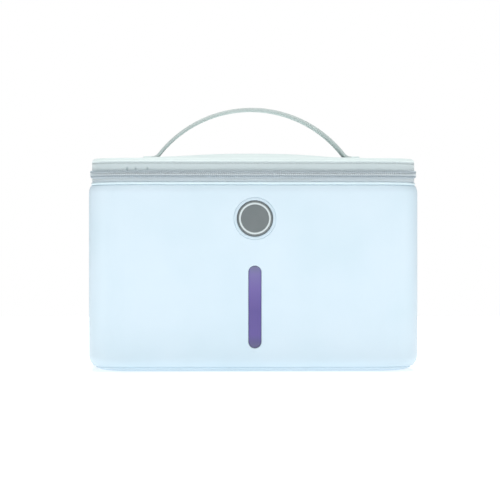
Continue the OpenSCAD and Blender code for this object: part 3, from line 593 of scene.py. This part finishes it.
def makeStitches(along, height, reach, length):
    # one short rounded thread for each stop: a half-sunk lens of six sides, longer than it is wide
    base, out = outlineAt(along, zipRadius)
    way = np.stack([-out[:, 1], out[:, 0]], 1)
    parts = []
    shares, widths = np.array([-1.0, -0.7, 0.0, 0.7, 1.0]), np.array([0.08, 0.24, 0.3, 0.24, 0.08])
    turn = np.arange(6) * math.pi / 3
    local = np.stack([np.broadcast_to((shares * length / 2)[:, None], (5, 6)), widths[:, None] * np.cos(turn),
                      widths[:, None] * np.sin(turn)], -1)
    faces = tubeFaces(5, 6)
    for b, o, w in zip(base, out, way):
        flat = b + o * (reach + local[..., 1:2]) + w * local[..., :1]
        parts.append((np.concatenate([flat, height + local[..., 2:]], -1), faces))
    return gather(parts)


# Lock stitches: one row holds the upper tape to the lid's edge, one the lower tape over the welt
for name, body, height, reach in (("lidStitches", "lid", zipSet["lidSeam"], 30.3),
                                  ("lipStitches", "case", zipSet["lipSeam"], 30.36)):
    points, faces = makeStitches(zipStops(2.4, 2.6), height, reach, 2.0)
    putPiece(name, points, faces, sewingThread, body, sharp=80)
print("zip made")

# The cloth hinge: one strip of the tape's cloth from inside the shell to the lid's edge
rise = np.stack([np.full(30, zipSet["line"]), np.linspace(157.4, 171.0, 30)], 1)
line = np.concatenate([lowTapeLine(157.0), rise])
profile = thicken(line, 0.7)
across = np.linspace(-zipSet["hinge"] / 2, zipSet["hinge"] / 2, 60)
points = np.stack(np.broadcast_arrays(across[:, None], profile[None, :, 0] + straightB, profile[None, :, 1]), -1)
length = np.concatenate([[0], np.cumsum(np.linalg.norm(np.diff(profile, axis=0), axis=1))])
threads = np.stack([points[..., 0], np.broadcast_to(length[None], points.shape[:2]), np.zeros(points.shape[:2])], -1)
hingeCloth = putPiece("hingeCloth", points, tubeFaces(60, len(profile)), hingeWeave, None, (), threads)
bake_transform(hingeCloth)
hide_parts("lower_hinge_leaf", "upper_hinge_leaf")

# The lid: a padded panel with a rolled edge, a low crown and a seat for each foot of the strap
lidSet = {"flat": 174.0, "under": 170.2, "rim": 171.1, "roll": 2.9, "skirtLow": 167.7, "skirtIn": 26.7,
          "crown": 6.2, "crownA": 127.7, "crownB": 80.2, "seat": 175.5}


def boxMask(x, y, x0, x1, halfY, width):
    # 1 inside a rectangle on either side of the middle, 0 outside, soft over the width
    return (softStep(abs(x), x0, width) * (1 - softStep(abs(x), x1, width)) * (1 - softStep(abs(y), halfY, width)))


def lidTop(x, y):
    # the flat plus a cap of a stretched sphere, met softly, with a shallow dip on either side, deeper
    # on the right, less the two seats
    r = (lidSet["crownB"] ** 2 + lidSet["crown"] ** 2) / (2 * lidSet["crown"])
    away = y ** 2 + (x * lidSet["crownB"] / lidSet["crownA"]) ** 2
    cap = lidSet["crown"] - r + np.sqrt(np.maximum(r ** 2 - away, 1))
    cap -= 0.6 * np.exp(-((abs(x) - 62) / 22) ** 2) + 0.5 * np.exp(-((x - 70) / 14) ** 2)
    height = lidSet["flat"] + (cap + np.sqrt(cap ** 2 + 0.5)) / 2 - 0.03
    seat = boxMask(x, y, 76.0, 91.2, 12.3, 1.2)
    return height + (np.minimum(height, lidSet["seat"]) - height) * seat


def lidUnder(x, y):
    # flat, with pockets for the lamp board, the strap's plates and the magnet
    lamp = (1 - softStep(abs(x), 75.8, 0.8)) * (1 - softStep(abs(y), 15.8, 0.8)) * 2.1
    plates = boxMask(x, y, 83.9, 90.8, 11.4, 0.8) * 2.3
    magnet = (1 - softStep(np.hypot(x - 22, y + 74.6), 4.3, 0.8)) * 2.1
    return lidSet["under"] + np.maximum(np.maximum(lamp, plates), magnet)


def makeLid():
    # a frame of the outline's own stops meets a square grid over the middle, above and below
    along = outlineStops(lipRadius, 1.5, straightB / 36, 32)
    inwards = np.linspace(0, 27.6, 20)
    roll = arcPoints((27.6, lidSet["rim"]), lidSet["roll"], 90, 0, 10)[1:]
    tuck = [(30.45, lidSet["rim"] - 0.05), (29.75, lidSet["rim"] - 0.1), (29.68, 170.6), (29.68, 169.0),
            (29.5, 167.9), (29.2, lidSet["skirtLow"]), (27.2, lidSet["skirtLow"]), (26.9, 167.9),
            (lidSet["skirtIn"], 168.4), (lidSet["skirtIn"], lidSet["under"])]
    under = np.linspace(lidSet["skirtIn"], 0, 16)[1:]
    profile = np.concatenate([np.stack([inwards, np.zeros(20)], 1), roll, tuck, np.stack([under, np.zeros(15)], 1)])
    points = carry(profile, along, lipRadius)
    points[:, :20, 2] = lidTop(points[:, :20, 0], points[:, :20, 1])
    points[:, -15:, 2] = lidUnder(points[:, -15:, 0], points[:, -15:, 1])
    parts = [(points, gridFaces(*points.shape[:2], True, False))]
    gridX, gridY = np.linspace(-straightA, straightA, 137), np.linspace(-straightB, straightB, 73)
    x, y = np.meshgrid(gridX, gridY, indexing="ij")
    for height in (lidTop(x, y), lidUnder(x, y)):
        parts.append((np.stack([x, y, height], -1), gridFaces(*x.shape)))
    return gather(parts)


points, faces = makeLid()
lidPad = putPiece("lidPad", points, faces, padSkin, "lid", ["lid_shell"], sharp=60)
print("lid made")

# The carry strap: an arch that bends back into a flat foot on each side
strapSet = {"arch": 98.55, "archZ": 119.0, "angle": 51.8967, "bend": 8.0, "footX": 83.8441, "footZ": 176.75,
            "foot": 7.0, "thick": 2.5, "wide": 24.0, "round": 0.9}


def strapLine():
    # the strap's middle line from the right toe over the arch to the left toe
    s = strapSet
    toe = np.stack([np.linspace(s["footX"] + s["foot"], s["footX"], 16), np.full(16, s["footZ"])], 1)
    ends = s["footX"] + s["foot"] - 1.2 * (1 - np.cos(np.linspace(0, math.pi / 2, 7)))
    toe = np.concatenate([np.stack([ends, np.full(7, s["footZ"])], 1), toe[toe[:, 0] < ends[-1] - 0.05]])
    bend = arcPoints((s["footX"], s["footZ"] + s["bend"]), s["bend"], 270, 270 - s["angle"], 14)
    arch = arcPoints((0, s["archZ"]), s["arch"], 90 - s["angle"], 90, 49)
    right = np.concatenate([toe, bend[1:], arch[1:]])
    left = right[-2::-1] * np.array([-1, 1])
    return np.concatenate([right, left])


def makeStrap():
    # a rounded rectangle carried along that line, drawn in at the toes
    s = strapSet
    line = strapLine()
    way = np.gradient(line, axis=0)
    way /= np.linalg.norm(way, axis=1)[:, None]
    up = np.stack([way[:, 1], -way[:, 0]], 1)
    end = np.minimum(abs(line[:, 0] - line[0, 0]), abs(line[:, 0] - line[-1, 0]))
    pull = s["round"] * (1 - np.sqrt(1 - (1 - np.clip(end / s["round"], 0, 1)) ** 2))
    corner = np.linspace(0, math.pi / 2, 6)
    quarter = [corner + k * math.pi / 2 for k in range(4)]
    signs = [(1, 1), (-1, 1), (-1, -1), (1, -1)]
    cornerB = s["round"] - 0.6 * pull[:, None]
    parts = []
    for (signA, signB), angle in zip(signs, quarter):
        a = signA * (s["wide"] / 2 - s["round"] - pull[:, None]) + s["round"] * np.cos(angle)[None]
        b = signB * (s["thick"] / 2 - s["round"] - 0.3 * pull[:, None]) + cornerB * np.sin(angle)[None]
        parts.append(np.stack([a, b], -1))
    section = np.concatenate(parts, 1)
    x = line[:, None, 0] + up[:, None, 0] * section[..., 1]
    z = line[:, None, 1] + up[:, None, 1] * section[..., 1]
    points = np.stack([x, section[..., 0], z], -1)
    return points, tubeFaces(*points.shape[:2])


points, faces = makeStrap()
putPiece("carryStrap", points, faces, coatedStrap, "lid", ["handle_strap"])
print("strap made")


def lathe(rings, half, centre, axis, perCorner=12, closed=False):
    # rings round a core rectangle: each ring is (radius, depth, share of the core); a zero core gives
    # a turned part, a flat one a slot, and a full one a rounded plate
    turnBy = np.linspace(0, math.pi / 2, perCorner + 1)
    angle = np.concatenate([turnBy + k * math.pi / 2 for k in range(4)])
    signA = np.repeat([1, -1, -1, 1], perCorner + 1)
    signB = np.repeat([1, 1, -1, -1], perCorner + 1)
    rings = np.asarray([(*ring, 1.0)[:3] for ring in rings], float)
    a = rings[:, 2, None] * half[0] * signA[None] + rings[:, 0, None] * np.cos(angle)[None]
    b = rings[:, 2, None] * half[1] * signB[None] + rings[:, 0, None] * np.sin(angle)[None]
    depth = np.broadcast_to(rings[:, 1, None], a.shape)
    order = {"y": (a, depth, b), "x": (depth, a, b), "z": (a, b, depth)}[axis]
    points = np.stack(order, -1) + np.asarray(centre, float)
    return points, gridFaces(len(rings), a.shape[1], closed, True)


def softPlate(radius, back, front, soft):
    # rings of a solid plate with softened edges, from the middle of its back to the middle of its front
    bend = np.radians(np.linspace(0, 90, 5))
    way = 1 if front > back else -1
    rings = [(0, back, 0), (radius - soft, back, 1)]
    rings += [(radius - soft + soft * math.sin(a), back + way * soft * (1 - math.cos(a)), 1) for a in bend[1:]]
    rings += [(radius - soft + soft * math.cos(a), front - way * soft * (1 - math.sin(a)), 1) for a in bend]
    return rings + [(0, front, 0)]


# The power button: a shallow dish, a groove for the pale ring and a soft outer edge
face = buttonSet["front"]
radius, ringOut, ringIn = buttonSet["radius"], buttonSet["ringOut"], buttonSet["ringIn"]
dishEdge, soft = ringIn - 0.2, 0.8
dish = [(r, face + buttonSet["dish"] * (1 - (r / dishEdge) ** 2)) for r in (0, 3, 6, 8.5, 10.4)]
bend = np.radians(np.linspace(0, 90, 7))
edge = [(radius - soft + soft * math.sin(a), face + soft * (1 - math.cos(a))) for a in bend]
rings = dish + [(dishEdge, face), (ringIn - 0.04, face + 0.08), (ringIn, face + 0.8), (ringOut, face + 0.8),
                (ringOut + 0.04, face + 0.08), (ringOut + 0.2, face)]
rings += edge + [(radius, -81.4), (15.2, -81.4), (15.2, -80.4), (12.3, -80.4), (12.3, -86.3), (2.5, -86.3),
                 (2.5, -79.4), (0, -79.4)]
points, faces = lathe(rings, (0, 0), buttonSet["middle"], "y", 24)
putPiece("buttonCap", points, faces, satinAbs, "button", ["power_button"])
rings = [(11.42, face + 0.78), (11.42, face + 0.1), (11.6, face - 0.04), (12.15, face - 0.1), (12.7, face - 0.04),
         (12.88, face + 0.1), (12.88, face + 0.78)]
points, faces = lathe(rings, (0, 0), buttonSet["middle"], "y", 24, True)
putPiece("buttonRing", points, faces, opalAcrylic, "button", ["button_ring"])
rings = [(14.6, -87.3), (14.75, -87.65), (15.1, -87.8), (16.2, -87.8), (16.75, -87.7), (17.0, -87.45), (17.0, -86.3),
         (15.6, -86.3), (15.6, -81.6), (14.6, -81.6)]
points, faces = lathe(rings, (0, 0), buttonSet["middle"], "y", 24, True)
putPiece("buttonBezel", points, faces, bezelAbs, "case", ["button_bezel"])

# The window: a slot of tinted acrylic behind the wall, with its flange on the inside
lensRings = [(0, -86.55), (3.2, -86.55), (4.6, -86.5), (5.0, -86.35), (windowSet["radius"], -86.0),
             (windowSet["radius"], -83.1), (6.75, -83.1), (6.75, -81.9), (0, -81.9)]
points, faces = lathe(lensRings, (0, windowSet["half"]), (0, 0, windowSet["middle"]), "y", 16)
putPiece("indicatorWindow", points, faces, windowAcrylic, "case", ["window_lens"])
print("button and window made")


def profilePlate(outline, low, high, soft, axis="x"):
    # a flat part cut to an outline, its edges rounded over: each ring steps in by soft times one less
    # the sine of the turn, and away from its face by soft times one less the cosine
    outline = np.asarray(outline, float)
    way = np.roll(outline, -1, 0) - np.roll(outline, 1, 0)
    normal = np.stack([way[:, 1], -way[:, 0]], 1) / np.linalg.norm(way, axis=1)[:, None]
    bend = np.radians(np.linspace(0, 90, 4))
    rings = [(soft * (1 - math.sin(a)), low + soft * (1 - math.cos(a))) for a in bend]
    rings += [(soft * (1 - math.sin(a)), high - soft * (1 - math.cos(a))) for a in bend[::-1]]
    flat = np.stack([outline - normal * inset for inset, _ in rings])
    depth = np.broadcast_to(np.array([d for _, d in rings])[:, None], flat.shape[:2])
    a, b = flat[..., 0], flat[..., 1]
    points = np.stack((depth, a, b) if axis == "x" else (a, depth, b), -1)
    return points, tubeFaces(len(rings), len(outline))


# The sliders: two bell-shaped plates on a neck, two lugs and a riveted pin
sliderSet = {"long": 4.5, "wide": 4.45, "flare": 0.35, "zip": 161.3, "outer": (134.6, 136.0),
             "inner": (130.0, 131.4), "pinX": 138.05, "pinZ": 164.0}


def makeSlider(middle, nose):
    # the nose is 1 or -1, the way that the wide end points along Y
    c = sliderSet
    turn = np.linspace(0, 2 * math.pi, 49)[:-1]
    # a rounded rectangle: cosine and sine to the power 0.5, wider towards the nose
    y = c["long"] * np.sign(np.cos(turn)) * abs(np.cos(turn)) ** 0.5
    z = (c["wide"] + c["flare"] * nose * y / c["long"]) * np.sign(np.sin(turn)) * abs(np.sin(turn)) ** 0.5
    plate = np.stack([y + middle, z + c["zip"]], 1)
    neck = np.stack([1.12 * np.cos(turn) + middle + nose * 2.25, 0.35 * np.sin(turn) + c["zip"]], 1)[::2]
    lug = np.concatenate([[(135.8, 161.9), (136.4, 162.15)], arcPoints((137.75, c["pinZ"]), 1.6, -115, 115, 15),
                          [(136.4, 165.85), (135.8, 166.1)]])
    parts = [profilePlate(plate, *c["outer"], 0.4), profilePlate(plate, *c["inner"], 0.3),
             profilePlate(neck, 131.2, 134.8, 0.1)]
    parts += [profilePlate(lug, middle + low, middle + low + 1.2, 0.28, "y") for low in (-3.2, 2.0)]
    pin = [(0, -3.4), (0.45, -3.36), (0.68, -3.15), (0.7, -3.0), (0.7, 3.0), (0.68, 3.15), (0.45, 3.36), (0, 3.4)]
    parts.append(lathe(pin, (0, 0), (c["pinX"], middle, c["pinZ"]), "y", 5))
    return gather(parts)


def makePull(middle):
    # an eye on the pin, a neck that widens into a tab with a round end, and three grip ribs
    c = sliderSet
    height = np.concatenate([139 + 3.5 * (1 - np.cos(np.linspace(0, math.pi / 2, 10))), np.linspace(143.5, 154, 6),
                             np.linspace(154.5, 158.5, 9), [160, 161.5, 162.9]])
    half = 1.7 + 1.8 * (1 - softStep(height, 156.3, 4))
    half *= np.sqrt(np.clip(1 - ((142.5 - height) / 3.5).clip(0, 1) ** 2, 0.004, 1))
    outline = np.concatenate([np.stack([half, height], 1), np.stack([-half, height], 1)[::-1]]) + [middle, 0]
    parts = [profilePlate(outline, 137.25, 138.85, 0.35)]
    eye = [(0.78, -1.6), (0.9, -1.78), (1.35, -1.8), (1.6, -1.6), (1.6, 1.6), (1.35, 1.8), (0.9, 1.78), (0.78, 1.6)]
    parts.append(lathe(eye, (0, 0), (c["pinX"], middle, c["pinZ"]), "y", 6, True))
    rib = [(0, -2.1), (0.2, -2.05), (0.32, -1.8), (0.32, 1.8), (0.2, 2.05), (0, 2.1)]
    parts += [lathe(rib, (0, 0), (138.85, middle, z), "y", 3) for z in (144.5, 147.5, 150.5)]
    return gather(parts)


for side, middle, nose in (("front", 26.0, 1), ("rear", 37.5, -1)):
    points, faces = makeSlider(middle, nose)
    putPiece(side + "Slider", points, faces, castZinc, side + "_slider", [side + "_zip_slider"],
             sharp=50)
    points, faces = makePull(middle)
    putPiece(side + "Pull", points, faces, castZinc, side + "_pull", [side + "_zip_pull"], sharp=50)

# The end stops, crimped over the coil at the hinge's ends
parts = [lathe(softPlate(0.5, way * 88.05, way * 90.95, 0.35), (0.4, 0.65), (0, straightB + 31.4, 159.55), "x", 5)
         for way in (1, -1)]
points, faces = gather(parts)
putPiece("endStops", points, faces, castZinc, "case", ["zip_end_stops"], sharp=50)

# The charging socket: a drawn steel shell with its tongue, in a soft-edged rim
socketRings = [(0, 76.2, 0), (1.6, 76.2), (1.6, 87.05), (1.52, 87.18), (1.2, 87.2), (1.1, 87.05), (1.1, 76.7),
               (0, 76.7, 0)]
points, faces = lathe(socketRings, socketSet["half"], socketSet["middle"], "y", 8)
putPiece("chargeSocket", points, faces, platedSteel, "case", ["charge_socket"], sharp=50)
points, faces = lathe(softPlate(0.34, 76.7, 86.2, 0.14), (3.0, 0), socketSet["middle"], "y", 5)
putPiece("socketTongue", points, faces, darkMoulding, "case", sharp=50)
rimRings = [(3.5, 83.1), (3.5, 87.6), (3.42, 87.85), (3.2, 88.0), (1.95, 87.95), (1.68, 87.8), (1.6, 87.5),
            (1.6, 83.1)]
points, faces = lathe(rimRings, socketSet["half"], socketSet["middle"], "y", 10, True)
putPiece("socketRim", points, faces, greyMoulding, "case", ["charge_socket_rim"], sharp=50)
print("sliders and socket made")

# The nodes that keep their solids get their finishes
finishes = {
    "inner_tub": foilFilm, "lid_lining": foilFilm, "tact_switch": darkMoulding, "control_board": solderMask,
    "control_screws": platedSteel, "lid_sensor": darkMoulding, "light_guide": whiteMoulding,
    "indicator_board": solderMask, "base_chassis": whiteMoulding, "battery_pack": shrinkSleeve,
    "base_lamp_board": lampMask, "base_lamp_lenses": fusedQuartz, "base_screws": platedSteel,
    "charge_board": solderMask, "lid_lamp_board": lampMask, "lid_lamp_lenses": fusedQuartz,
    "sensor_magnet": platedSteel, "handle_backing_plates": platedSteel, "handle_screws": platedSteel,
}
for node, material in finishes.items():
    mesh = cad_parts[node].data
    mesh.materials.clear()
    mesh.materials.append(material)
print("solids finished")

# A plain pale floor that is bright enough to meet the background, and soft studio light; the floor's
# radius is in metres, the reach of its shadow in millimetres
studioSet = {"floor": 1.6, "near": 0.43, "far": 0.84, "reach": 60, "world": 0.3, "shown": 1.0}
footprint = (caseSet["width"] / 2, caseSet["depth"] / 2, 1)
floorFinish, tree, shader, place = newMaterial("matFloor", "#F2F2F2", 0.9, {"Emission Color": (1, 1, 1, 1)})
# its glow rises with the distance from the case's foot, and leaves a soft contact shadow there
away = addNode(tree, "VectorMath", {"operation": "ABSOLUTE"}, {0: place}).outputs[0]
away = addNode(tree, "VectorMath", {"operation": "SUBTRACT"}, {0: away, 1: footprint}).outputs[0]
away = addNode(tree, "VectorMath", {"operation": "MAXIMUM"}, {0: away, 1: (0, 0, 0)}).outputs[0]
distance = addNode(tree, "VectorMath", {"operation": "LENGTH"}, {0: away}).outputs["Value"]
lift = addNode(tree, "MapRange", None, {"Value": distance, "From Min": 0, "From Max": studioSet["reach"],
                                        "To Min": studioSet["near"], "To Max": studioSet["far"]})
tree.links.new(lift.outputs[0], shader.inputs["Emission Strength"])
steps = np.linspace(0, 2 * math.pi, 97)[:-1]
rings = np.array([0.0, 0.4, 1.0]) * studioSet["floor"] / mm
points = np.stack([np.outer(rings, np.cos(steps)), np.outer(rings, np.sin(steps)), np.full((3, 96), -0.05)], -1)
floor = putPiece("floor", points, gridFaces(3, 96, False, True), floorFinish)
if floor.data.polygons[0].normal.z < 0:
    floor.data.flip_normals()

world = bpy.data.worlds.new("studio")
bpy.context.scene.world = world
world.use_nodes = True
sky = world.node_tree
sky.nodes.clear()
ray = addNode(sky, "LightPath")
glow = addNode(sky, "MapRange", None, {"Value": ray.outputs["Is Camera Ray"], "To Min": studioSet["world"],
                                       "To Max": studioSet["shown"]})
surround = addNode(sky, "Background", None, {"Color": (1, 1, 1, 1), "Strength": glow.outputs[0]})
addNode(sky, "OutputWorld", None, {"Surface": surround.outputs[0]})
bpy.context.scene.view_settings.view_transform = "Standard"

# Each light: where it stands, in metres, its width and height, and its power in watts
lights = {
    "frontSoft": ((0.0, -2.6, 0.8), (1.8, 1.0), 4.5),
    "leftSoft": ((-2.0, -0.35, 0.35), (0.5, 0.9), 3.4),
    "rightSoft": ((2.0, -0.35, 0.35), (0.5, 0.9), 3.4),
    "rearSoft": ((0.0, 0.9, 2.1), (1.6, 0.8), 20.0),
    "topSoft": ((0.0, -0.9, 2.1), (1.6, 1.0), 19.0),
}
for name, (spot, size, power) in lights.items():
    data = bpy.data.lights.new(name, "AREA")
    data.shape = "RECTANGLE"
    data.size, data.size_y = size
    data.energy = power
    lamp = bpy.data.objects.new(name, data)
    bpy.context.scene.collection.objects.link(lamp)
    lamp.location = spot
    lamp.rotation_euler = (Vector((0, 0, 0.1)) - Vector(spot)).to_track_quat("-Z", "Y").to_euler()
    lamp.visible_camera = False
print("studio set")
